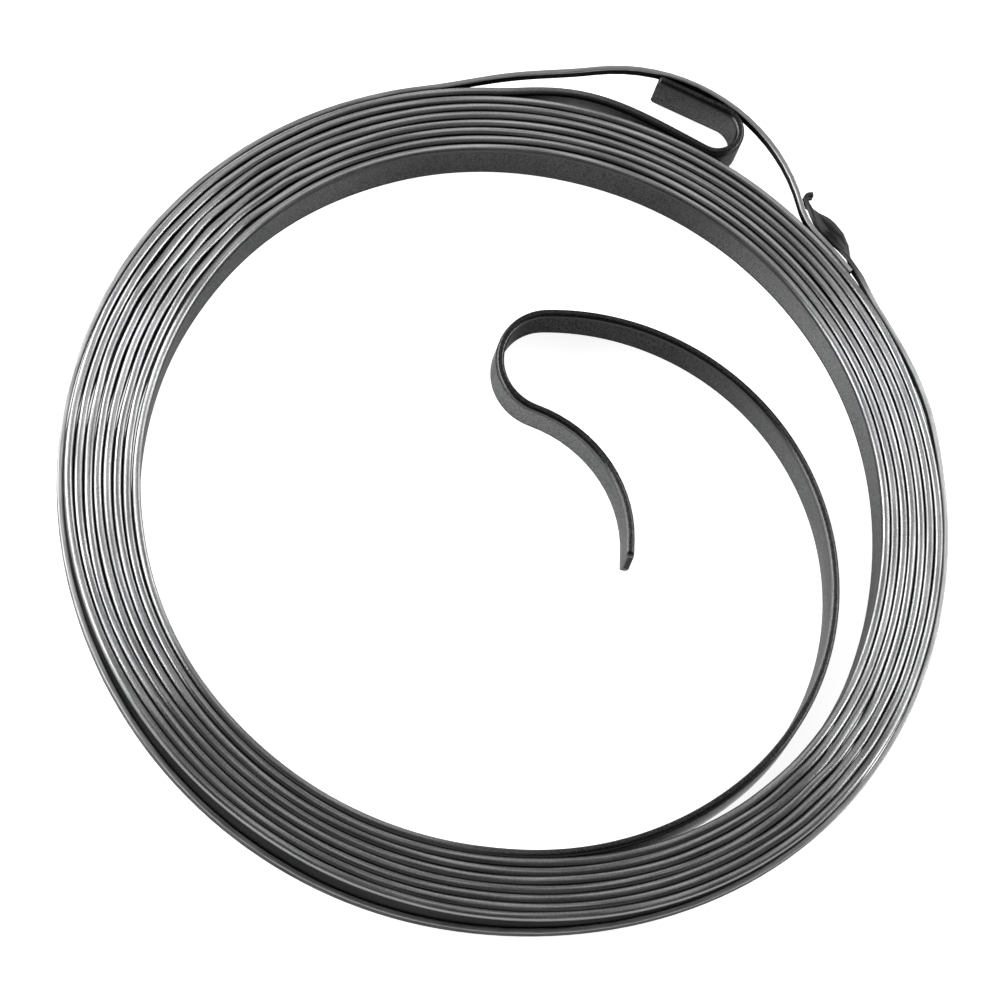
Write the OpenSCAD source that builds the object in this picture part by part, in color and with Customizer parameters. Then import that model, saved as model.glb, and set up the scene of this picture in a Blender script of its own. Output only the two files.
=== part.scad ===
// Spiral power spring, packed for storage: one flat steel strip wound into a tight coil,
// with a free tail inside for the arbor, a hook outside for the housing,
// and a thin band that holds the coil closed.
// The axis of the coil is Z. The coil lies flat on its lower edges, at z = 0.

/* [Strip] */
// Width of the strip, along the axis of the coil
strip_w = 4.8; // [3.5:0.1:8]
// Thickness of the strip
strip_t = 0.8; // [0.7:0.05:1.1]
// Radius of the four long edges of the strip
edge_r = 0.25; // [0.1:0.05:0.3]
// Radius of the corners at the two cut ends of the strip
end_r = 0.7; // [0.4:0.1:1.2]

/* [Coil] */
// Diameter over the outermost turn, from left to right
coil_d = 82.5; // [74:0.5:94]
// Whole turns in the coil, before its last half turn
turns = 7; // [4:1:9]
// Free space between one turn and the next
turn_gap = 0.04; // [0.02:0.01:0.1]
// How far the coil bulges past the place where the tail leaves it
coil_bulge = 0.8; // [0:0.1:1.2]

/* [Inner tail] */
// How much tighter the tail curves than the turn that it leaves, in radius
tail_pull = 3.6; // [2.5:0.1:4.5]
// Angle of that first curve
tail_exit_turn = 42; // [38:0.5:46]
// Radius of the long sweep through the open middle
tail_sweep_r = 26.6; // [25.5:0.1:27.5]
// Angle of the long sweep
tail_sweep_turn = 78; // [72:0.5:82]
// Radius of the crest of the tail, after the long sweep
tail_crest_r = 24.8; // [23.5:0.1:26]
// Angle of the crest
tail_crest_turn = 64; // [58:0.5:68]
// Radius of the tight bend at the head of the tail
tail_bend_r = 5; // [4:0.1:6]
// Angle of the tight bend
tail_bend_turn = 157.5; // [145:0.5:165]
// Radius of the reverse curve before the tip
tail_tip_r = 12.8; // [10:0.1:15]
// Angle of the reverse curve
tail_tip_turn = 74; // [60:1:85]
// Straight length at the tip
tail_tip_len = 1.7; // [1:0.1:4]

/* [Outer hook] */
// Angle along the coil from its top to the bend of the hook
hook_at = 28.8; // [22:0.1:34]
// How far the strip bows off the coil on that stretch
hook_bow = 0.85; // [0:0.05:1]
// Radius of the bend of the hook, to the middle of the strip
hook_r = 2.4; // [1.8:0.1:3]
// Angle of the bend of the hook
hook_turn = 184; // [176:1:190]
// Straight length after the bend
hook_len = 7; // [5:0.1:9]

/* [Retaining band] */
// Width of the band, along the axis of the coil
band_w = 1.2; // [0.8:0.05:1.6]
// Thickness of the band
band_t = 0.5; // [0.3:0.05:0.6]
// Free space between the band and the spring, and between its two lapped ends
band_gap = 0.06; // [0.04:0.01:0.15]
// Free space between the band and the hook
hook_gap = 0.1; // [0.06:0.01:0.3]
// Distance from the rim of the coil down to the band
band_drop = 0.3; // [0.2:0.1:0.5]
// How much further down the band has slipped on the far side from the hook
band_sag = 2.8; // [0:0.1:3]
// How far the band stands off the coil just past its lapped ends
band_slack = 0.3; // [0:0.05:0.5]
// How far the band bows out where it leaves the coil for the hook
lift_bow = 0.35; // [0:0.05:0.5]
// Radius of the band where it arches over the hook
arch_r = 17; // [14:0.5:20]
// Radius of the reverse curve where the band comes back to the coil
landing_r = 7; // [5:0.5:10]
// Length of the inner end, from where it comes back to the coil
lap_len = 4.5; // [4:0.5:6]
// Length of the twisted leaf on the outer end
leaf_len = 8.4; // [7:0.2:9]
// Width of the band in the middle of the leaf, where it is hammered flat
leaf_w = 1.9; // [1.4:0.1:2.1]
// How far the leaf bows away from the inner end
leaf_bow = 0.1; // [0:0.05:0.4]
// Length of the outer end beyond where the inner end leaves the coil
lock_len = 4.2; // [3.2:0.1:4.6]
// Radius of the outward bend at the very end of the outer end
catch_r = 0.5; // [0.4:0.05:0.7]
// Straight length after that bend
catch_len = 0.3; // [0.2:0.1:0.8]

/* [Hidden] */

// Curves are followed in steps: degrees for each step of the strip and of the band,
// and how many steps go round an edge, a cut corner, the leaf and the band's way to the hook
strip_step = 6;
band_step = 4;
edge_steps = 1;
end_steps = 4;
leaf_steps = 16;
lift_steps = 12;

// Angles about the axis between which the coil bulges, the band has slipped and the band is slack
bulge_span = [262, 358];
sag_span = [150, 335];
slack_span = [2, 28];

function unit(a) = [cos(a), sin(a)];
function degrees(arc, r) = arc / r * 180 / PI;
function angle_of(p) = (atan2(p.y, p.x) + 360) % 360;
function swell(a, span) = pow(sin(180 * min(1, max(0, (a - span[0]) / (span[1] - span[0])))), 2);
function last(list) = list[len(list) - 1];
function reversed(list) = [for (i = [len(list) - 1 : -1 : 0]) list[i]];
function without_first(list) = [for (i = [1 : len(list) - 1]) list[i]];

// A station on a route is [point, heading, distance walked], and at a cut end of the strip
// also how far its width is drawn in at both edges, to round the corners.
// A leg of a route is [radius, turn, steps], with turns to the left above zero,
// or [length, 0, steps] where it is straight.
function leg_length(leg) = leg[1] == 0 ? leg[0] : leg[0] * abs(leg[1]) * PI / 180;
function along(from, leg, part = 1) =
    let (h = from[1], a = h + part * leg[1], r = leg[0] * sign(leg[1]))
    let (step = leg[1] == 0 ? part * leg[0] * unit(h) : r * [sin(a) - sin(h), cos(h) - cos(a)])
    [from[0] + step, a, from[2] + part * leg_length(leg)];
function leg_steps(leg, angle) = is_undef(leg[2]) ? max(1, ceil(abs(leg[1]) / angle)) : leg[2];
function route(from, legs, angle, i = 0) =
    i == len(legs) ? [from] :
    let (n = leg_steps(legs[i], angle))
    concat([for (k = [0 : n - 1]) along(from, legs[i], k / n)],
        route(along(from, legs[i]), legs, angle, i + 1));
function turned_back(stations) = [for (s = reversed(stations)) [s[0], s[1] + 180, s[2], s[3]]];

// The bulge moves a station of a clockwise route away from the axis and turns its heading to suit
function bulged(s) =
    let (a = angle_of(s[0]), rise = swell(a + 0.5, bulge_span) - swell(a - 0.5, bulge_span))
    [s[0] + coil_bulge * swell(a, bulge_span) * unit(a),
        s[1] - atan(coil_bulge * degrees(rise, norm(s[0]))), s[2]];

// A closed skin over rings that all have the same number of points
module skin(rings) {
    n = len(rings[0]);
    m = len(rings);
    polyhedron(
        points = [for (ring = rings) each ring],
        faces = concat(
            [[for (i = [0 : n - 1]) i]],
            [for (k = [0 : m - 2], i = [0 : n - 1])
                let (a = k * n + i, b = k * n + (i + 1) % n)
                each [[a, a + n, b + n], [a, b + n, b]]],
            [[for (i = [n - 1 : -1 : 0]) (m - 1) * n + i]]),
        convexity = 6);
}

// Section of the strip: [distance to the left of the route, height]
function round_corner(x, y, from) =
    [for (i = [0 : edge_steps]) [x, y] + edge_r * unit(from + 90 * i / edge_steps)];
function strip_section(draw_in) =
    let (x = strip_t / 2 - edge_r, low = draw_in + edge_r, high = strip_w - low)
    concat(round_corner(x, high, 0), round_corner(-x, high, 90),
        round_corner(-x, low, 180), round_corner(x, low, 270));
function strip_ring(station) =
    [for (p = strip_section(is_undef(station[3]) ? 0 : station[3]))
        let (q = station[0] + p[0] * unit(station[1] + 90)) [q.x, q.y, p[1]]];
function with_cut_end(stations) =
    concat(stations, [for (i = [1 : end_steps])
        let (a = 90 * i / end_steps)
        concat(along(last(stations), [end_r * sin(a), 0]), end_r * (1 - cos(a)))]);

// Coil: half circles about two centres, each a quarter of the pitch off the axis.
// It starts straight below the axis, runs clockwise and ends straight above the axis.
pitch = strip_t + turn_gap;
quarter = pitch / 4;
first_r = (coil_d - strip_t) / 2 - turns * pitch;
left_r = first_r + turns * pitch + quarter;
right_r = left_r - pitch / 2;
left_centre = [0, quarter];
right_centre = [0, -quarter];
coil_start = [[0, -first_r], 180, 0];
coil_route = [for (s = route(coil_start,
    [for (k = [0 : 2 * turns]) [first_r + quarter + k * pitch / 2, -180]], strip_step)) bulged(s)];

// Inner tail: walked from the start of the coil to its free tip
tail_route = route(turned_back([coil_route[0]])[0], [
    [first_r - tail_pull, tail_exit_turn],
    [tail_sweep_r, tail_sweep_turn],
    [tail_crest_r, tail_crest_turn],
    [tail_bend_r, tail_bend_turn],
    [tail_tip_r, -tail_tip_turn],
    [tail_tip_len - end_r, 0]], strip_step);

// Outer hook: the strip bows a little off the coil, turns back and ends in a straight stretch.
// The bow is fullest before the middle of its stretch.
root_r = left_r + pitch / 2;
bow_lead = 0.8;
function root_station(part) =
    let (a = 90 - part * hook_at, swell = 180 * pow(part, bow_lead))
    let (r = root_r + hook_bow * pow(sin(swell), 2))
    let (rise = hook_bow * sin(2 * swell) * bow_lead * swell / part / hook_at)
    [right_centre + r * unit(a), a - 90 + atan(rise / r), 0];
root_steps = 2 * ceil(hook_at / strip_step);
hook_root = [for (k = [1 : root_steps - 1]) root_station(k / root_steps)];
hook_bend = route(root_station(1), [[hook_r, hook_turn], [hook_len - end_r, 0]], strip_step);

module power_spring() {
    color([0.36, 0.37, 0.38])
        skin([for (s = concat(turned_back(with_cut_end(tail_route)), without_first(coil_route),
            hook_root, with_cut_end(hook_bend))) strip_ring(s)]);
}

// Retaining band: it runs clockwise round the coil, leaves it along a straight line,
// arches over the hook and comes back in a reverse curve.
band_off = strip_t / 2 + band_gap + band_t / 2;
band_left_r = left_r + band_off;
band_right_r = right_r + band_off;

// The arch touches the bend of the hook and the back of its cut end, with a free space at both
hook_out = last(hook_bend)[1] - 90;
bend_centre = root_station(1)[0] + hook_r * unit(root_station(1)[1] + 90);
end_back = along(last(hook_bend), [end_r, 0])[0] + strip_t / 2 * unit(hook_out);
hook_off = hook_gap + band_t / 2;
bend_side = arch_r - hook_r - strip_t / 2 - hook_off;
end_side = arch_r - hook_off;
chord = end_back - bend_centre;
chord_at = atan2(chord.y, chord.x);
chord_part = (pow(norm(chord), 2) + pow(bend_side, 2) - pow(end_side, 2)) / (2 * norm(chord));
arch_centre = bend_centre + chord_part * unit(chord_at)
    + sqrt(pow(bend_side, 2) - pow(chord_part, 2)) * unit(chord_at + 90);

// Straight line that touches the coil's own circle and the arch from outside
to_arch = arch_centre - left_centre;
lift_at = atan2(to_arch.y, to_arch.x) + acos((band_left_r - arch_r) / norm(to_arch));
line_len = sqrt(pow(norm(to_arch), 2) - pow(band_left_r - arch_r, 2));

// Reverse curve that touches the arch and the coil's circle on the right
from_coil = arch_centre - right_centre;
reach = norm(from_coil);
coil_side = band_right_r + landing_r;
arch_side = arch_r + landing_r;
land_at = atan2(from_coil.y, from_coil.x)
    - acos((pow(coil_side, 2) + pow(reach, 2) - pow(arch_side, 2)) / (2 * coil_side * reach));
landing_centre = right_centre + coil_side * unit(land_at);
to_landing = landing_centre - arch_centre;
arch_end = atan2(to_landing.y, to_landing.x);
landing_turn = land_at - arch_end;
landed = [right_centre + band_right_r * unit(land_at), land_at - 90, 0];

// The outer end starts on the reverse curve, over the inner end, and steps down past it
lock_turn = degrees(lock_len, landing_r);
band_start = along(landed, [landing_r, lock_turn], -1);
lap_turn = degrees(lap_len, band_right_r);
band_route = route([band_start[0], band_start[1], 0], [
    [landing_r, lock_turn, leaf_steps / 2],
    [band_right_r, -lap_turn, leaf_steps],
    [band_right_r, -lap_turn, leaf_steps / 2],
    [band_right_r, -(land_at + 90 - 2 * lap_turn)],
    [band_left_r, -(270 - lift_at)],
    [line_len, 0, lift_steps],
    [arch_r, arch_end - lift_at],
    [landing_r, landing_turn],
    [band_right_r, -lap_turn]], band_step);

// Twist of the leaf, which is fuller towards 1 and more pointed towards 2,
// and the distance that the outer end keeps from the inner end
leaf_fullness = 1.2;
function leaf_twist(walked) = 90 * pow(sin(180 * min(1, max(0, walked / leaf_len))), leaf_fullness);
function ease(x) = let (t = min(1, max(0, x))) t * t * (3 - 2 * t);
function leaf_widening(twist) = 1 + (leaf_w / band_w - 1) * twist / 90;
function half_depth(twist) = band_t / 2 * cos(twist) + leaf_widening(twist) * band_w / 2 * sin(twist);
function lap_off(walked, twist) =
    (band_t / 2 + band_gap + half_depth(twist) + leaf_bow * twist / 90)
        * (1 - ease((walked - lock_len - lap_len) / lap_len));

// Bow of the band on its way to the hook
line_at = lock_len + leg_length([band_right_r, land_at + 90]) + leg_length([band_left_r, 270 - lift_at]);
function lift_off(walked) =
    lift_bow * pow(sin(180 * min(1, max(0, (walked - line_at) / line_len))), 2);

// The band is high at the hook and has slipped down on the far side of the coil
function band_level(p) =
    strip_w - band_drop - band_w / 2 - band_sag * swell(angle_of(p), sag_span);
band_section = [[1, 1], [-1, 1], [-1, -1], [1, -1]];
band_edge = band_t / 4;
band_corners = [for (c = band_section)
    let (x = c[0] * band_t / 2, y = c[1] * band_w / 2, turn = c[0] * c[1])
    each turn > 0 ? [[x, y - c[1] * band_edge], [x - c[0] * band_edge, y]]
        : [[x - c[0] * band_edge, y], [x, y - c[1] * band_edge]]];
function band_ring(station, off, twist) =
    let (out = unit(station[1] + 90), level = band_level(station[0]))
    [for (c = band_corners)
        let (x = c[0], y = c[1] * leaf_widening(twist))
        let (q = station[0] + out * (off + x * cos(twist) - y * sin(twist)))
        [q.x, q.y, level + x * sin(twist) + y * cos(twist)]];

// The very end of the outer end is bent outwards, as a catch for the fingers
catch_root = [band_start[0] + unit(band_start[1] + 90) * lap_off(0, 0), band_start[1] + 180, 0];
catch_route = turned_back(without_first(route(catch_root, [[catch_r, -90], [catch_len, 0]], 30)));

module retaining_band() {
    color([0.55, 0.56, 0.57])
        skin(concat(
            [for (s = catch_route) band_ring(s, 0, 0)],
            [for (s = band_route)
                let (twist = leaf_twist(s[2]), slack = band_slack * swell(angle_of(s[0]), slack_span))
                band_ring(bulged(s), lap_off(s[2], twist) + lift_off(s[2]) + slack, twist)]));
}

power_spring();
retaining_band();
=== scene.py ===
# %% [markdown]
# # A spiral power spring, wound and held by its band
#
# This lesson dresses a coil of flat steel strip. The strip starts at a free, curved tail in the
# middle, winds outwards turn on turn, and ends outside in a hook. A thin band runs round the coil
# and holds it closed. The solids come ready made. Here they get smooth curves, rolled edges,
# the small unevenness of a real winding, and the finish of dark tempered steel.

# %% Load the frame
from collections import namedtuple
from math import acos, atan, atan2, ceil, copysign, cos, degrees, pi, radians, sin, sqrt

import bmesh
import bpy
from mathutils import Matrix, Vector, noise


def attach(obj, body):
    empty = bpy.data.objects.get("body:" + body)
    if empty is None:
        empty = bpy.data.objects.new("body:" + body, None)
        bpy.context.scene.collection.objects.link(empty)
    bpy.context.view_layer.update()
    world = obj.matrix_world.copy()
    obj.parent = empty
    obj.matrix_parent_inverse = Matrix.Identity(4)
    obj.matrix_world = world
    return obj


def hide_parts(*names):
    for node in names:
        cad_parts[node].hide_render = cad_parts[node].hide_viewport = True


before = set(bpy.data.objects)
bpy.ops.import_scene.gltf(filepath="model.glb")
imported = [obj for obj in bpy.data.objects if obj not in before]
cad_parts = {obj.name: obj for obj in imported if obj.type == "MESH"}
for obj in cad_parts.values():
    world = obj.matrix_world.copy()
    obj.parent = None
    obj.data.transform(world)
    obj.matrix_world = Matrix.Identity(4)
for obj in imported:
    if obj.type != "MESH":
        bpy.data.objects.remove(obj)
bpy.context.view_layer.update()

MM = 0.001
scene = bpy.context.scene

# %% [markdown]
# ## The road that the strip follows
#
# Seen from above, the whole strip is one road of bends that run into each other without a kink.
# It could be drawn by hand as a curve, but a bend with a radius and an angle is what a workshop
# would set on the machine, so the road is kept as a list of such bends. A station is one place on
# the road: where it is, which way it heads, how far it is from the start, how high its middle lies,
# how far it is twisted, and how far its width is drawn in.

# %% Stations and bends
Station = namedtuple("Station", "place heading walked level twist draw_in")


def unit(angle):
    return Vector((cos(angle), sin(angle), 0))


def on_bend(start, radius, turn, part):
    """The station at a share of a bend, with turns to the left above zero, or of a straight length."""
    heading = start.heading + turn * part
    if turn == 0:
        return start._replace(place=start.place + radius * part * unit(heading),
                              walked=start.walked + radius * part)
    side = radius if turn > 0 else -radius
    shift = side * Vector((sin(heading) - sin(start.heading), cos(start.heading) - cos(heading), 0))
    return start._replace(place=start.place + shift, heading=heading,
                          walked=start.walked + radius * abs(turn) * part)


STRAIGHT_STEP, WIDE_R = 1.2 * MM, 20 * MM
WIDE_DEGREES, TIGHT_DEGREES, LEAST_STEPS = 2, 5, 4


def bend_steps(radius, turn):
    """Fine steps on wide bends, coarse ones on tight bends, where a step is short anyway."""
    if turn == 0:
        return max(1, ceil(radius / STRAIGHT_STEP))
    step = WIDE_DEGREES if radius > WIDE_R else TIGHT_DEGREES
    return max(LEAST_STEPS, ceil(abs(degrees(turn)) / step))


def road(start, bends):
    stations = [start]
    for radius, turn in bends:
        count = bend_steps(radius, turn)
        here = stations[-1]
        stations += [on_bend(here, radius, turn, k / count) for k in range(1, count + 1)]
    return stations


def turned_back(stations):
    return [s._replace(heading=s.heading + pi) for s in reversed(stations)]


print("a quarter bend of 10 mm takes", bend_steps(10 * MM, pi / 2), "steps")

# %% [markdown]
# ## Coil, tail and hook
#
# A spiral can be drawn from half circles about two centres that lie a quarter of the pitch off the
# axis: the radius of each half circle is half a pitch longer than the last. Past the place where
# the tail leaves it, the coil bulges a little. The tail sweeps through the open middle, folds back
# in a tight bend and ends in a soft reverse curve. The hook swells off the coil before it turns
# back on itself.

# %% Swells
def share(x):
    return min(1, max(0, x))


def angle_of(place):
    return atan2(place.y, place.x) % (2 * pi)


def arc(angle, span):
    """Half a wave between two angles about the axis, which are given in degrees."""
    return sin(pi * share((degrees(angle) - span[0]) / (span[1] - span[0])))


def swell(angle, span):
    """Rises from nought to one and falls back, softly at both ends."""
    return arc(angle, span) ** 2


BULGE, BULGE_SPAN = 0.8 * MM, (262, 358)


def bulged(s):
    """Moves a station of a clockwise road away from the axis and turns its heading to suit."""
    a, nudge = angle_of(s.place), radians(0.5)
    rise = BULGE * (swell(a + nudge, BULGE_SPAN) - swell(a - nudge, BULGE_SPAN))
    slope = rise / (2 * nudge * s.place.length)
    return s._replace(place=s.place + BULGE * swell(a, BULGE_SPAN) * unit(a),
                      heading=s.heading - atan(slope))


print("the bulge is widest at", sum(BULGE_SPAN) / 2, "degrees")

# %% The road of the strip
strip_w, strip_t, end_r = 4.8 * MM, 0.8 * MM, 0.4 * MM
coil_d, turns, turn_gap = 82.5 * MM, 7, 0.04 * MM
pitch = strip_t + turn_gap
first_r = (coil_d - strip_t) / 2 - turns * pitch
quarter = pitch / 4
left_r = first_r + turns * pitch + quarter
right_r = left_r - pitch / 2
left_centre, right_centre = Vector((0, quarter, 0)), Vector((0, -quarter, 0))

coil_start = Station(Vector((0, -first_r, 0)), pi, 0, 0, 0, 0)
half_turns = [(first_r + quarter + k * pitch / 2, -pi) for k in range(2 * turns + 1)]
coil = [bulged(s) for s in road(coil_start, half_turns)]
tail = road(turned_back([coil[0]])[0], [
    (first_r - 3.6 * MM, radians(42)),
    (26.6 * MM, radians(78)),
    (24.8 * MM, radians(64)),
    (5 * MM, radians(157.5)),
    (12.8 * MM, radians(-74)),
    (1.7 * MM - end_r, 0)])

hook_at, hook_bow, bow_lead = radians(28.8), 0.85 * MM, 0.8
hook_r, hook_turn, hook_len = 2.4 * MM, radians(184), 7 * MM
root_r = left_r + pitch / 2


def on_hook_root(part):
    """The strip swells off the coil, fullest before the middle of the stretch."""
    at = pi / 2 - part * hook_at
    lift = pi * part ** bow_lead
    radius = root_r + hook_bow * sin(lift) ** 2
    rise = hook_bow * sin(2 * lift) * bow_lead * lift / part / hook_at
    return Station(right_centre + radius * unit(at), at - pi / 2 + atan(rise / radius), 0, 0, 0, 0)


ROOT_STEPS = 24
hook_root = [on_hook_root(k / ROOT_STEPS) for k in range(1, ROOT_STEPS + 1)]
hook = road(hook_root[-1], [(hook_r, hook_turn), (hook_len - end_r, 0)])
print("tip of the tail at", [round(x / MM, 2) for x in tail[-1].place],
      "end of the hook at", [round(x / MM, 2) for x in hook[-1].place])

# %% [markdown]
# ## Carrying a section along the road
#
# A Curve with a bevel would also make a strip, but it gives little say over the ends. Here one
# section is spun from station to station: `bmesh.ops.spin` turns and moves the rim in one step
# and leaves a ring of faces behind. A long road is made in short lengths that are then welded,
# because each spin looks through the whole mesh. Each rim also carries three numbers, how far it is
# along the strip, across its thickness and up its width, so that the finish can follow the metal.

# %% The section
SECTION_STEPS = 6
LAYERS = ("along", "across", "rise")


def section(bm, station, width, thick, edge_r):
    """A rounded rectangle that stands across the road, as a face with its rim."""
    left, ahead = unit(station.heading + pi / 2), unit(station.heading)
    stand = Matrix((left, Vector((0, 0, 1)), ahead)).transposed().to_4x4()
    centre = station.place + Vector((0, 0, station.level))
    size = Matrix.Diagonal((thick, width - 2 * station.draw_in, 1, 1))
    place = Matrix.Translation(centre) @ stand @ size
    bmesh.ops.create_grid(bm, x_segments=1, y_segments=1, size=0.5, matrix=place)
    bmesh.ops.bevel(bm, geom=bm.verts[:], offset=edge_r, offset_type="OFFSET", affect="VERTICES",
                    segments=SECTION_STEPS, profile=0.5, material=-1)
    along, across, rise = (bm.verts.layers.float.new(name) for name in LAYERS)
    for v in bm.verts:
        v[along] = station.walked
        v[across] = (v.co - centre).dot(left)
        up = v.co.z - centre.z
        v[rise] = up + copysign(station.draw_in, up)
    bmesh.ops.rotate(bm, verts=bm.verts[:], cent=centre, matrix=Matrix.Rotation(station.twist, 3, ahead))
    return bm.edges[:] + bm.verts[:]


# %% One step of the sweep
def carry(bm, rim, here, there):
    """Spin the rim by one step, then lift, twist and draw in the new rim."""
    turn = there.heading - here.heading
    step = Matrix.Rotation(-turn, 3, "Z") @ (there.place - here.place)
    step.z = there.level - here.level
    rim = bmesh.ops.spin(bm, geom=rim, cent=here.place, axis=(0, 0, 1), dvec=step, angle=turn,
                         steps=1, use_duplicate=False)["geom_last"]
    verts = [g for g in rim if isinstance(g, bmesh.types.BMVert)]
    centre = there.place + Vector((0, 0, there.level))
    ahead = unit(there.heading)
    if there.twist != here.twist:
        bmesh.ops.rotate(bm, verts=verts, cent=centre,
                         matrix=Matrix.Rotation(there.twist - here.twist, 3, ahead))
    if there.draw_in != here.draw_in:
        rise = Matrix.Rotation(there.twist, 3, ahead) @ Vector((0, 0, 1))
        pull = rise * (there.draw_in - here.draw_in)
        bmesh.ops.translate(bm, verts=[v for v in verts if (v.co - centre).dot(rise) > 0], vec=-pull)
        bmesh.ops.translate(bm, verts=[v for v in verts if (v.co - centre).dot(rise) < 0], vec=pull)
    along = bm.verts.layers.float["along"]
    for v in verts:
        v[along] = there.walked
    return rim


# %% The whole sweep
LENGTH_STATIONS, WELD = 60, 0.002 * MM


def sweep(name, stations, width, thick, edge_r):
    """One closed, smooth piece along the stations, flat only at its two cut ends."""
    mesh = bpy.data.meshes.new(name)
    whole = bmesh.new()
    for first in range(0, len(stations) - 1, LENGTH_STATIONS):
        bm = bmesh.new()
        rim = section(bm, stations[first], width, thick, edge_r)
        if first:
            bmesh.ops.delete(bm, geom=bm.faces[:], context="FACES_ONLY")
        for here, there in zip(stations[first:first + LENGTH_STATIONS], stations[first + 1:]):
            rim = carry(bm, rim, here, there)
        if first + LENGTH_STATIONS >= len(stations) - 1:
            bmesh.ops.edgeloop_fill(bm, edges=[g for g in rim if isinstance(g, bmesh.types.BMEdge)])
        bm.to_mesh(mesh)
        bm.free()
        whole.from_mesh(mesh)
    bmesh.ops.remove_doubles(whole, verts=whole.verts[:], dist=WELD)
    bmesh.ops.recalc_face_normals(whole, faces=whole.faces[:])
    for f in whole.faces:
        f.smooth = len(f.verts) == 4
    whole.to_mesh(mesh)
    print(name, "has", len(mesh.polygons), "faces, from", len(stations), "stations, open edges:",
          sum(not e.is_manifold for e in whole.edges))
    whole.free()
    piece = bpy.data.objects.new(name, mesh)
    scene.collection.objects.link(piece)
    even = piece.modifiers.new("even normals", "WEIGHTED_NORMAL")
    even.keep_sharp = True
    return piece


# %% [markdown]
# ## The strip
#
# The two cut ends get round corners: over the last stretch the width is drawn in along a quarter
# circle. No winding is perfect, so the turns rise, drift and lean by a few hundredths of a
# millimetre. A slow noise along the strip gives that, and it fades out on the free ends. In two
# places the turns have short kinks as well, which fade out on the first and the last of them. At the
# upper left the inner turns sit closer to the axis, and the foot of the first one leans in. The free
# tail leans back. A modifier could shake the finished mesh, but it would thicken and thin the metal.
# Moving the stations keeps the section true.

# %% Ends
END_STEPS = 6


def with_cut_end(stations):
    last, rounded = stations[-1], []
    for k in range(1, END_STEPS + 1):
        a = pi / 2 * k / END_STEPS
        rounded.append(on_bend(last, end_r * sin(a), 0, 1)._replace(draw_in=end_r * (1 - cos(a))))
    return stations + rounded


strip_road = turned_back(with_cut_end(tail)) + coil[1:] + hook_root + with_cut_end(hook)[1:]
coil_from = len(tail) + END_STEPS
coil_to = coil_from + len(coil)
turn_stations = len(coil) / (turns + 0.5)
print("the coil has", len(coil), "of the strip's", len(strip_road), "stations")

# %% Unevenness
FADE_STATIONS = 40
SLACK, SLACK_WAVE = 0.05 * MM, 45 * MM
DRIFT, DRIFT_WAVE = 0.05 * MM, 12 * MM
LEAN, LEAN_WAVE = radians(2), 14 * MM
KINK, KINK_WAVE, KINK_SPANS = 0.22 * MM, 5 * MM, ((88, 190), (285, 350))
EASE, EASE_SPAN = 0.5 * MM, (115, 215)
FOOT_IN, FOOT_SPAN = radians(6), (50, 205)
BACK, FRONT = radians(5), unit(radians(-113))


def waver(walked, seed, wave):
    return noise.noise(Vector((walked / wave, seed, 0)))


def as_wound(k, s, walked):
    """A station of the true road, moved and leaned as on a real winding."""
    outward, a = unit(s.heading + pi / 2), angle_of(s.place)
    turn = (k - coil_from) / turn_stations
    loose = share((k - coil_from) / FADE_STATIONS) * share((coil_to - k) / FADE_STATIONS)
    kinked = share(turn - 0.5) * share(turns - turn) * sum(swell(a, span) for span in KINK_SPANS)
    uneven = loose + kinked
    eased = loose * share(1 - turn / turns) * EASE * swell(a, EASE_SPAN)
    foot_in = FOOT_IN * arc(a, FOOT_SPAN) * (0 < turn < 1)
    back = BACK * share(1 - k / coil_from) * outward.dot(FRONT)
    shift = (uneven * DRIFT * waver(walked, 4, DRIFT_WAVE) + kinked * KINK * waver(walked, 9, KINK_WAVE)
             - eased - strip_w / 2 * sin(foot_in))
    return s._replace(
        place=s.place + shift * outward, walked=walked,
        level=strip_w / 2 + loose * SLACK * waver(walked, 2, SLACK_WAVE),
        twist=uneven * LEAN * waver(walked, 7, LEAN_WAVE) - foot_in - back)


walked, stations = 0, []
for k, s in enumerate(strip_road):
    if k:
        walked += (s.place - strip_road[k - 1].place).length
    stations.append(as_wound(k, s, walked))
tail_end, coil_end = stations[coil_from].walked, stations[coil_to].walked
print("length of the strip:", round(walked, 3), "m, of which the tail:", round(tail_end, 3))

# %% The strip
rim_r = 0.39 * MM
strip = sweep("wound_strip", stations, strip_w - 2 * SLACK, strip_t, rim_r)
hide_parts("power_spring")
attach(strip, "root")

# %% [markdown]
# ## The retaining band
#
# The band is a much narrower strip that runs round the coil. It lies just below the rim at the hook
# and has slipped down on the far side. At the hook it lifts off the coil, arches over the hook and
# comes back in a reverse curve. Its outer end lies over its inner end, twists flat like a leaf, and
# ends in a small catch that is bent outwards. The arch is a circle that just clears the bend of the
# hook and the back of its cut end, so its centre is found from two distances.

# %% Where the band lifts off and lands
band_w, band_t = 1.2 * MM, 0.5 * MM
band_gap, hook_gap = 0.06 * MM, 0.1 * MM
band_off = strip_t / 2 + band_gap + band_t / 2
band_left_r, band_right_r = left_r + band_off, right_r + band_off
arch_r, landing_r = 17 * MM, 7 * MM


def direction(v):
    return atan2(v.y, v.x)


def corner_angle(near, base, far):
    """The angle between two sides of a triangle, from the lengths of its three sides."""
    return acos((near ** 2 + base ** 2 - far ** 2) / (2 * near * base))


hook_tip = on_bend(hook[-1], end_r, 0, 1)
hook_out = hook_tip.heading - pi / 2
bend_centre = hook_root[-1].place + hook_r * unit(hook_root[-1].heading + pi / 2)
end_back = hook_tip.place + strip_t / 2 * unit(hook_out)
end_side = arch_r - hook_gap - band_t / 2
bend_side = end_side - hook_r - strip_t / 2
chord = end_back - bend_centre
arch_centre = bend_centre + bend_side * unit(
    direction(chord) + corner_angle(bend_side, chord.length, end_side))

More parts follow.
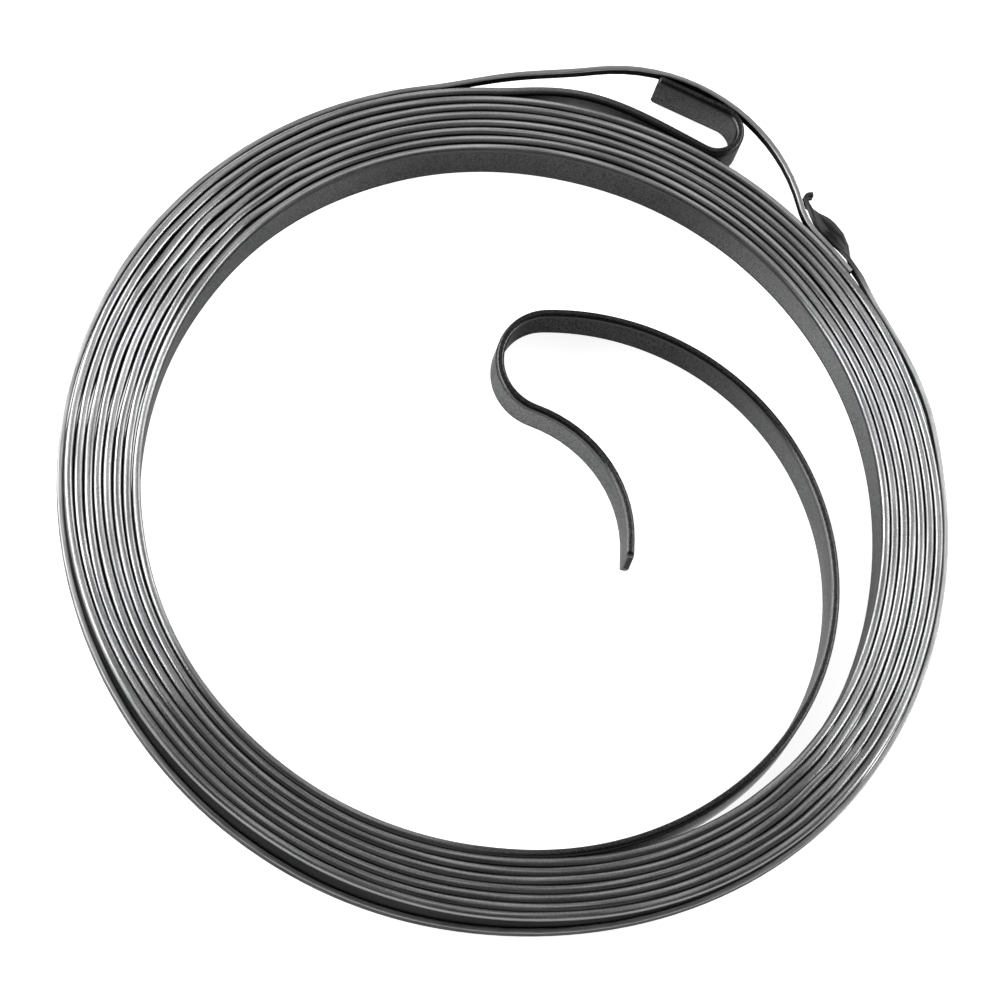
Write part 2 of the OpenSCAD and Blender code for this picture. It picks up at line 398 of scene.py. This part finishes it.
to_arch = arch_centre - left_centre
lift_at = direction(to_arch) + acos((band_left_r - arch_r) / to_arch.length)
line_len = sqrt(to_arch.length ** 2 - (band_left_r - arch_r) ** 2)

from_coil = arch_centre - right_centre
coil_side, arch_side = band_right_r + landing_r, arch_r + landing_r
land_at = direction(from_coil) - corner_angle(coil_side, from_coil.length, arch_side)
landing_centre = right_centre + coil_side * unit(land_at)
arch_end = direction(landing_centre - arch_centre)
landed = Station(right_centre + band_right_r * unit(land_at), land_at - pi / 2, 0, 0, 0, 0)
print("the band lifts off at", round(degrees(lift_at), 1), "and lands at", round(degrees(land_at), 1))

# %% The road of the band
lap_len, lock_len = 4.5 * MM, 4.2 * MM
lap_turn = lap_len / band_right_r
band_start = on_bend(landed, landing_r, lock_len / landing_r, -1)._replace(walked=0)
line_at = lock_len + band_right_r * (land_at + pi / 2) + band_left_r * (3 * pi / 2 - lift_at)
band_road = road(band_start, [
    (landing_r, lock_len / landing_r / 2),
    (landing_r, lock_len / landing_r / 2),
    (band_right_r, -lap_turn),
    (band_right_r, -lap_turn),
    (band_right_r, -(land_at + pi / 2 - 2 * lap_turn)),
    (band_left_r, -(3 * pi / 2 - lift_at)),
    (line_len, 0),
    (arch_r, arch_end - lift_at),
    (landing_r, land_at - arch_end),
    (band_right_r, -lap_turn)])
print("the road of the band has", len(band_road), "stations")

# %% Leaf, lap and sag
leaf_len, leaf_w, leaf_bow, leaf_fullness = 8.4 * MM, 1.9 * MM, 0.1 * MM, 1.2
lift_bow, band_slack, slack_span = 0.35 * MM, 0.3 * MM, (2, 28)
band_drop, band_sag, sag_span = 0.3 * MM, 2.8 * MM, (150, 335)


def ease(x):
    return share(x) ** 2 * (3 - 2 * share(x))


def leaf_twist(walked):
    return pi / 2 * sin(pi * share(walked / leaf_len)) ** leaf_fullness


def leaf_widening(twist):
    return (leaf_w - band_w) / 2 * twist / (pi / 2)


def lap_off(walked, twist):
    """How far the outer end keeps from the inner end, until it has stepped down to the coil."""
    half_depth = band_t / 2 * cos(twist) + (band_w / 2 + leaf_widening(twist)) * sin(twist)
    away = band_t / 2 + band_gap + half_depth + leaf_bow * twist / (pi / 2)
    return away * (1 - ease((walked - lock_len - lap_len) / lap_len))


def band_level(place):
    return strip_w - band_drop - band_w / 2 - band_sag * swell(angle_of(place), sag_span)


def on_band(s):
    twist, b = leaf_twist(s.walked), bulged(s)
    off = (lap_off(s.walked, twist) + lift_bow * sin(pi * share((s.walked - line_at) / line_len)) ** 2
           + band_slack * swell(angle_of(s.place), slack_span))
    return b._replace(place=b.place + off * unit(b.heading + pi / 2), level=band_level(b.place),
                      twist=twist, draw_in=-leaf_widening(twist))


print("the band sags by up to", round(band_sag / MM, 1), "mm")

# %% The band
catch_r, catch_len = 0.5 * MM, 0.3 * MM
catch_root = on_band(band_start)
catch = road(turned_back([catch_root])[0], [(catch_r, -pi / 2), (catch_len, 0)])[1:]
catch = [s._replace(level=band_level(s.place)) for s in turned_back(catch)]
band_stations = catch + [on_band(s) for s in band_road]
band_edge_r, band_thinned = 0.14 * MM, 0.03 * MM
band = sweep("retaining_hoop", band_stations, band_w, band_t - band_thinned, band_edge_r)
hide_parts("retaining_band")
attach(band, "root")

# %% [markdown]
# ## Dark tempered steel
#
# Spring strip is rolled, hardened and tempered in oil. Its wide faces come out nearly black with a
# fine grain. Its rolled edges are brighter where the turns lie in the coil, with fine lines drawn
# along them, and darker on the free tail and on the hook. Light and shade are painted in as well:
# painted light on the walls at the left and the right of the coil, on the back of the tail and at
# the root of the hook, painted light on the rims of the far side of the ring, and painted shade in
# the gaps between the turns and on the outer wall of the last turn. A picture could be wrapped round
# the strip, but a finish that is worked out from noise stays sharp from near and needs no file. Where
# a point lies is read from the three numbers that the sweep left on the mesh. The gloss spreads
# across the strip, as on metal that was drawn between rolls.

# %% A small kit for finishes
def grey(value):
    """A grey with a trace of blue, as steel has."""
    return (value, value * 1.005, value * 1.015)


class Finish:
    """A metal with its node tree, and the few steps that the finishes below are made of."""

    def __init__(self, name, grain_scale):
        self.material = bpy.data.materials.new(name)
        self.material.use_nodes = True
        self.nodes, self.links = self.material.node_tree.nodes, self.material.node_tree.links
        self.shader = self.nodes["Principled BSDF"]
        self.shader.inputs["Metallic"].default_value = 1
        self.along, self.across = self.layer("along"), self.layer("across")
        self.height = self.maths("ABSOLUTE", self.layer("rise"))
        self.grain = self.streaks(grain_scale, detail=3)
        self.worn = self.contrast(self.grain)

    def node(self, kind, **values):
        made = self.nodes.new(kind)
        for key, value in values.items():
            setattr(made, key, value)
        return made

    def layer(self, name):
        return self.node("ShaderNodeAttribute", attribute_name=name).outputs["Fac"]

    def place(self, axis):
        spot = self.node("ShaderNodeTexCoord").outputs["Object"]
        split = self.node("ShaderNodeSeparateXYZ")
        self.links.new(spot, split.inputs["Vector"])
        return split.outputs[axis]

    def maths(self, operation, first, second=None):
        made = self.node("ShaderNodeMath", operation=operation)
        self.links.new(first, made.inputs[0])
        if second is not None:
            self.links.new(second, made.inputs[1])
        return made.outputs["Value"]

    def ranged(self, value, low, high, to_low=0, to_high=1):
        """Goes softly from one number to another while a value goes from low to high."""
        made = self.node("ShaderNodeMapRange", interpolation_type="SMOOTHSTEP")
        for key, number in (("From Min", low), ("From Max", high), ("To Min", to_low), ("To Max", to_high)):
            made.inputs[key].default_value = number
        self.links.new(value, made.inputs["Value"])
        return made.outputs["Result"]

    def between(self, value, rise, fall):
        """Rises from nought to one over one range and falls back over another."""
        return self.maths("MULTIPLY", self.ranged(value, *rise), self.ranged(value, *fall, 1, 0))

    def contrast(self, pattern):
        return self.ranged(pattern, 0.35, 0.65)

    def streaks(self, scale, detail):
        """A noise that is stretched along, across and up the strip."""
        place = self.node("ShaderNodeCombineXYZ")
        for socket, name in zip("XYZ", LAYERS):
            self.links.new(self.layer(name), place.inputs[socket])
        stretch = self.node("ShaderNodeMapping")
        stretch.inputs["Scale"].default_value = scale
        self.links.new(place.outputs["Vector"], stretch.inputs["Vector"])
        made = self.node("ShaderNodeTexNoise")
        made.inputs["Scale"].default_value = 1
        made.inputs["Detail"].default_value = detail
        self.links.new(stretch.outputs["Vector"], made.inputs["Vector"])
        return made.outputs["Fac"]

    def mixed(self, factor, a, b):
        made = self.node("ShaderNodeMix", data_type="RGBA")
        self.links.new(factor, made.inputs["Factor"])
        for key, colour in (("A", a), ("B", b)):
            socket = [i for i in made.inputs if i.name == key and i.type == "RGBA"][0]
            if isinstance(colour, tuple):
                socket.default_value = (*colour, 1)
            else:
                self.links.new(colour, socket)
        return [o for o in made.outputs if o.type == "RGBA"][0]

    def speckled(self, dark, light):
        """A grey that changes with the grain."""
        return self.mixed(self.worn, grey(dark), grey(light))

    def finished(self, colour, rough, relief):
        """Brushed along the strip, so that a gloss spreads across it."""
        self.links.new(colour, self.shader.inputs["Base Color"])
        self.links.new(rough, self.shader.inputs["Roughness"])
        self.shader.inputs["Anisotropic"].default_value = 0.8
        self.shader.inputs["Anisotropic Rotation"].default_value = 0.25
        round_axis = self.node("ShaderNodeTangent", direction_type="RADIAL", axis="Z")
        self.links.new(round_axis.outputs["Tangent"], self.shader.inputs["Tangent"])
        bump = self.node("ShaderNodeBump")
        bump.inputs["Strength"].default_value = 0.5
        bump.inputs["Distance"].default_value = 0.02 * MM
        self.links.new(relief, bump.inputs["Height"])
        self.links.new(bump.outputs["Normal"], self.shader.inputs["Normal"])
        print(self.material.name, "has", len(self.nodes), "nodes")
        return self.material


# %% [markdown]
# ## Where the finish and the painted light and shade of the strip change
#
# Soft masks say where one finish, or one painted light or shade, gives way to the next. Each one
# reads a height above or below the middle of the strip, a length from the tip of the tail, a side of
# the strip, or a place in the coil. The gap shade is painted shade: a dark line down the rounding of
# each rim, where two turns meet and shade falls between them. The walls at the root of the hook are
# painted light on both of their sides, in a narrow gap that the lamps don't reach. Separate materials
# on separate faces would end in hard edges, and the real finish has none. A pair of greys is the
# dark and the light of a speckled grain.

# %% Masks on the strip
steel = Finish("tempered_strip", (6000, 8000, 8000))
top = strip_w / 2
at_edge = steel.ranged(steel.height, top - 0.5 * MM, top - 0.28 * MM)
# Painted shade: the lower part of the rounding of each rim is darkened, where two turns meet and shade
# falls between them.
gap_shade = steel.between(steel.height, (top - 0.68 * MM, top - 0.56 * MM), (top - 0.3 * MM, top - 0.1 * MM))
in_coil = steel.between(steel.along, (tail_end - 10 * MM, tail_end + 20 * MM),
                        (coil_end - 20 * MM, coil_end + 20 * MM))
outside = steel.ranged(steel.across, 0.05 * MM, 0.3 * MM)
# Painted shade: the outer wall of the last turn, which lies in shade behind the band, gets a flat dark
# grey.
last_turn = steel.maths("MULTIPLY", in_coil,
                        steel.ranged(steel.along, coil_end - 237 * MM, coil_end - 232 * MM))
outer = steel.maths("MULTIPLY", last_turn, outside)
in_tail = steel.ranged(steel.along, tail_end + 10 * MM, tail_end + 30 * MM, 1, 0)
tail_back = steel.maths("MULTIPLY", in_tail, outside)
# Painted light: the walls at the root of the hook lie in a narrow gap that the lamps don't reach, and are
# painted light on both sides.
hook_root_lit_wall = steel.between(steel.along, (coil_end - 2 * MM, coil_end + 4 * MM),
                               (coil_end + 16 * MM, coil_end + 20 * MM))
print("the coil runs from", round(tail_end, 3), "to", round(coil_end, 3), "m")

# %% Walls of the strip
LEFT_LIT_GREYS, MIDDLE_GREYS, RIGHT_LIT_GREYS = (0.08, 0.22), (0.035, 0.1), (0.14, 0.3)
TAIL_LIT_GREYS, TAIL_ROOT_LIT_GREYS = (0.1, 0.3), (0.7, 0.9)
OUTER_SHADE_GREY, HOOK_ROOT_LIT_GREY = 0.07, 0.8
# Painted light: the walls are lighter at the left and the right of the coil, where the soft boxes shine.
left_light_fade = steel.ranged(steel.place("X"), -25 * MM, -5 * MM)
right_light_rise = steel.ranged(steel.place("X"), 15 * MM, 35 * MM)
# Painted light: the back of the tail is lighter, lightest near its root, where it faces the lit floor.
near_coil = steel.ranged(steel.along, tail_end - 50 * MM, tail_end - 20 * MM)
walls = steel.mixed(left_light_fade, steel.speckled(*LEFT_LIT_GREYS), steel.speckled(*MIDDLE_GREYS))
walls = steel.mixed(right_light_rise, walls, steel.speckled(*RIGHT_LIT_GREYS))
lit_backs = steel.mixed(near_coil, steel.speckled(*TAIL_LIT_GREYS), steel.speckled(*TAIL_ROOT_LIT_GREYS))
walls = steel.mixed(outer, steel.mixed(tail_back, walls, lit_backs), grey(OUTER_SHADE_GREY))
walls = steel.mixed(hook_root_lit_wall, walls, grey(HOOK_ROOT_LIT_GREY))
print("the walls are darkest at", grey(MIDDLE_GREYS[0]))

# %% Rims of the strip
NEAR_LINE_GREYS, NEAR_RIM_GREYS = (0.16, 0.24), (0.42, 0.56)
FAR_LIT_LINE_GREYS, FAR_LIT_RIM_GREYS = (0.28, 0.4), (0.66, 0.8)
FREE_RIM_GREYS = (0.03, 0.08)
NEAR_GAP_SHADE_GREY, FAR_GAP_SHADE_GREY = 0.3, 0.08
LINE_SCALE = (100, 4500, 0)
lines = steel.streaks(LINE_SCALE, detail=2)
drawn = steel.contrast(lines)
# Painted light: the rims on the far side of the ring, towards the hook, are lighter, where the light falls
# from the back.
far_side_light = steel.ranged(steel.place("Y"), 0, 35 * MM)
near_edges = steel.mixed(drawn, steel.speckled(*NEAR_LINE_GREYS), steel.speckled(*NEAR_RIM_GREYS))
far_lit_edges = steel.mixed(drawn, steel.speckled(*FAR_LIT_LINE_GREYS), steel.speckled(*FAR_LIT_RIM_GREYS))
edges = steel.mixed(far_side_light, near_edges, far_lit_edges)
edges = steel.mixed(in_coil, steel.speckled(*FREE_RIM_GREYS), edges)
# The painted shade in the gaps is darker towards the far side of the ring.
towards_hook = steel.ranged(steel.place("Y"), -30 * MM, 20 * MM)
gap_shade_greys = steel.mixed(towards_hook, grey(NEAR_GAP_SHADE_GREY), grey(FAR_GAP_SHADE_GREY))
print("the rims are brightest at", grey(FAR_LIT_RIM_GREYS[1]))

# %% The finish of the strip
GLANCING_GREY, DULL_GREY = 0.3, 0.2
PATCH_SCALE, PATCH_ROUGHNESS = (70, 260, 260), (0.27, 0.35)
colour = steel.mixed(gap_shade, steel.mixed(at_edge, walls, edges), gap_shade_greys)
# On the rims, and in the painted shade of the gaps and of the outer wall, the glancing reflection is tinted
# down.
dull = steel.maths("MAXIMUM", outer, steel.maths("MAXIMUM", gap_shade, at_edge))
glancing = steel.mixed(dull, grey(GLANCING_GREY), grey(DULL_GREY))
steel.links.new(glancing, steel.shader.inputs["Specular Tint"])
rough = steel.ranged(steel.streaks(PATCH_SCALE, detail=3), 0.3, 0.7, *PATCH_ROUGHNESS)
relief = steel.mixed(at_edge, steel.grain, lines)
strip.data.materials.append(steel.finished(colour, rough, relief))

# %% [markdown]
# ## The finish of the band
#
# The band is cheaper steel, cut from a sheet, so its two edges are bright and its grain runs along
# it. Its leaf was hammered and has stayed dark. Its inner face is painted shade, and painted light
# near the lap.

# %% Masks on the band
hoop = Finish("band_strip", (300, 5000, 5000))
band_top, arch_at = band_w / 2, line_at + line_len
at_edge = hoop.ranged(hoop.height, band_top - 0.2 * MM, band_top - 0.1 * MM)
outside = hoop.ranged(hoop.across, -0.1 * MM, 0.1 * MM)
past_leaf = hoop.ranged(hoop.along, leaf_len - 0.5 * MM, leaf_len + 4 * MM)
past_lap = hoop.ranged(hoop.along, 30 * MM, 60 * MM)
on_arch = hoop.between(hoop.along, (line_at - 5 * MM, line_at + 5 * MM),
                       (arch_at + 12 * MM, arch_at + 20 * MM))
print("the arch runs from", round(line_at, 3), "to", round(arch_at, 3), "m and a little past it")

# %% The finish of the band
LAP_LIT_GREY, INNER_SHADE_GREYS, WALL_GREYS = 0.3, (0.015, 0.03), (0.1, 0.2)
EDGE_GREYS, ARCH_GREYS, LEAF_GREYS = (0.4, 0.65), (0.5, 0.7), (0.03, 0.16)
BAND_ROUGHNESS = (0.5, 0.6)
# Painted shade: the inner face of the band, in the gap against the coil, is nearly black; near the lap,
# where the gap can be seen, it is painted light.
band_inner_light_and_shade = hoop.mixed(past_lap, grey(LAP_LIT_GREY), hoop.speckled(*INNER_SHADE_GREYS))
walls = hoop.mixed(outside, band_inner_light_and_shade, hoop.speckled(*WALL_GREYS))
edges = hoop.mixed(on_arch, hoop.speckled(*EDGE_GREYS), hoop.speckled(*ARCH_GREYS))
colour = hoop.mixed(past_leaf, hoop.speckled(*LEAF_GREYS), hoop.mixed(at_edge, walls, edges))
hoop.shader.inputs["Specular Tint"].default_value = (0.2, 0.2, 0.2, 1)
rough = hoop.ranged(hoop.grain, 0.3, 0.7, *BAND_ROUGHNESS)
band.data.materials.append(hoop.finished(colour, rough, hoop.grain))

# %% [markdown]
# ## Camera
#
# The picture was taken from nearly above with a long lens. The tilt, its direction and the distance
# were found from the turns of the coil, which look like ellipses of known spacing.

# %% Camera
IMAGE_PX = 1001
tilt, near_side = radians(23.34), radians(-113.1)
px = 0.09271 * MM
distance = 464.7 * MM
aim_px = (11.17, 9.45)

towards = unit(near_side)
lean = Matrix.Rotation(tilt, 3, Vector((0, 0, 1)).cross(towards))
right, up, back = lean @ Vector((1, 0, 0)), lean @ Vector((0, 1, 0)), lean @ Vector((0, 0, 1))
camera_data = bpy.data.cameras.new("camera")
camera_data.sensor_width = 36
camera_data.lens = camera_data.sensor_width * distance / px / IMAGE_PX
camera_data.clip_start, camera_data.clip_end = 0.01, 5
camera = bpy.data.objects.new("camera", camera_data)
scene.collection.objects.link(camera)
camera.matrix_world = Matrix.Translation(
    Vector((0, 0, strip_w)) + distance * back - aim_px[0] * px * right - aim_px[1] * px * up
) @ Matrix((right, up, back)).transposed().to_4x4()
scene.camera = camera
print("camera at", [round(x / MM, 1) for x in camera.location], "lens", round(camera_data.lens, 1))

# %% [markdown]
# ## Light
#
# Two wide soft boxes stand left and right of the coil, the left one stronger. Their light runs along
# the rolled edges on those two sides. The sky is brighter above and towards the back, so each rim at
# the top and the bottom of the ring is lit on one flank and stays calm. The floor looks white to the
# camera and in the metal, while its own light stays plain, and it keeps the shadow. A plain white
# world would be simpler, but then all rims would look flat.

# %% Floor
FLOOR_HALF, FLOOR_GLOW = 2, 0.85
floor_mesh = bpy.data.meshes.new("floor")
bm = bmesh.new()
bmesh.ops.create_grid(bm, x_segments=1, y_segments=1, size=FLOOR_HALF)
bm.to_mesh(floor_mesh)
bm.free()
floor = bpy.data.objects.new("floor", floor_mesh)
scene.collection.objects.link(floor)

pale = bpy.data.materials.new("pale_floor")
pale.use_nodes = True
nodes, links = pale.node_tree.nodes, pale.node_tree.links
matte = nodes["Principled BSDF"]
matte.inputs["Base Color"].default_value = (0.8, 0.8, 0.8, 1)
matte.inputs["Roughness"].default_value = 0.9
matte.inputs["Emission Color"].default_value = (1, 1, 1, 1)
path = nodes.new("ShaderNodeLightPath")
seen = path.outputs["Is Camera Ray"]
for kind in ("Is Glossy Ray", "Is Transmission Ray"):
    either = nodes.new("ShaderNodeMath")
    either.operation = "MAXIMUM"
    links.new(seen, either.inputs[0])
    links.new(path.outputs[kind], either.inputs[1])
    seen = either.outputs["Value"]
glow = nodes.new("ShaderNodeMath")
glow.operation = "MULTIPLY"
glow.inputs[1].default_value = FLOOR_GLOW
links.new(seen, glow.inputs[0])
links.new(glow.outputs["Value"], matte.inputs["Emission Strength"])
floor_mesh.materials.append(pale)
print("the floor is", 2 * FLOOR_HALF, "m wide")

# %% Sky
SKY_AXIS = (0, 0.7, 0.714)
SKY_FADE = {"From Min": 0.4, "From Max": 1, "To Min": 0.08, "To Max": 0.65}
scene.world = bpy.data.worlds.new("studio")
scene.world.use_nodes = True
nodes, links = scene.world.node_tree.nodes, scene.world.node_tree.links
sky = nodes["Background"]
sky.inputs["Color"].default_value = (1, 1, 1, 1)
upward = nodes.new("ShaderNodeVectorMath")
upward.operation = "DOT_PRODUCT"
upward.inputs[1].default_value = SKY_AXIS
links.new(nodes.new("ShaderNodeTexCoord").outputs["Generated"], upward.inputs[0])
fade = nodes.new("ShaderNodeMapRange")
fade.interpolation_type = "SMOOTHSTEP"
for key, number in SKY_FADE.items():
    fade.inputs[key].default_value = number
links.new(upward.outputs["Value"], fade.inputs["Value"])
links.new(fade.outputs["Result"], sky.inputs["Strength"])
print("the sky is brightest towards", SKY_AXIS)

# %% Lamps
def soft_box(name, place, width, height, watts):
    lamp = bpy.data.lights.new(name, "AREA")
    lamp.shape = "RECTANGLE"
    lamp.size, lamp.size_y, lamp.energy = width, height, watts
    holder = bpy.data.objects.new(name, lamp)
    holder.location = place
    holder.rotation_euler = (-Vector(place)).to_track_quat("-Z", "Y").to_euler()
    scene.collection.objects.link(holder)
    print(name, "radiance", round(watts / (pi * width * height), 1))


soft_box("left_box", place=(-0.44, 0.14, 0.2), width=0.6, height=0.22, watts=3.3)
soft_box("right_box", place=(0.44, 0.08, 0.2), width=0.5, height=0.22, watts=1.7)
scene.view_settings.view_transform = "Standard"

# %% [markdown]
# ## The end
#
# The view layer is brought up to date once more.

# %% Update
bpy.context.view_layer.update()
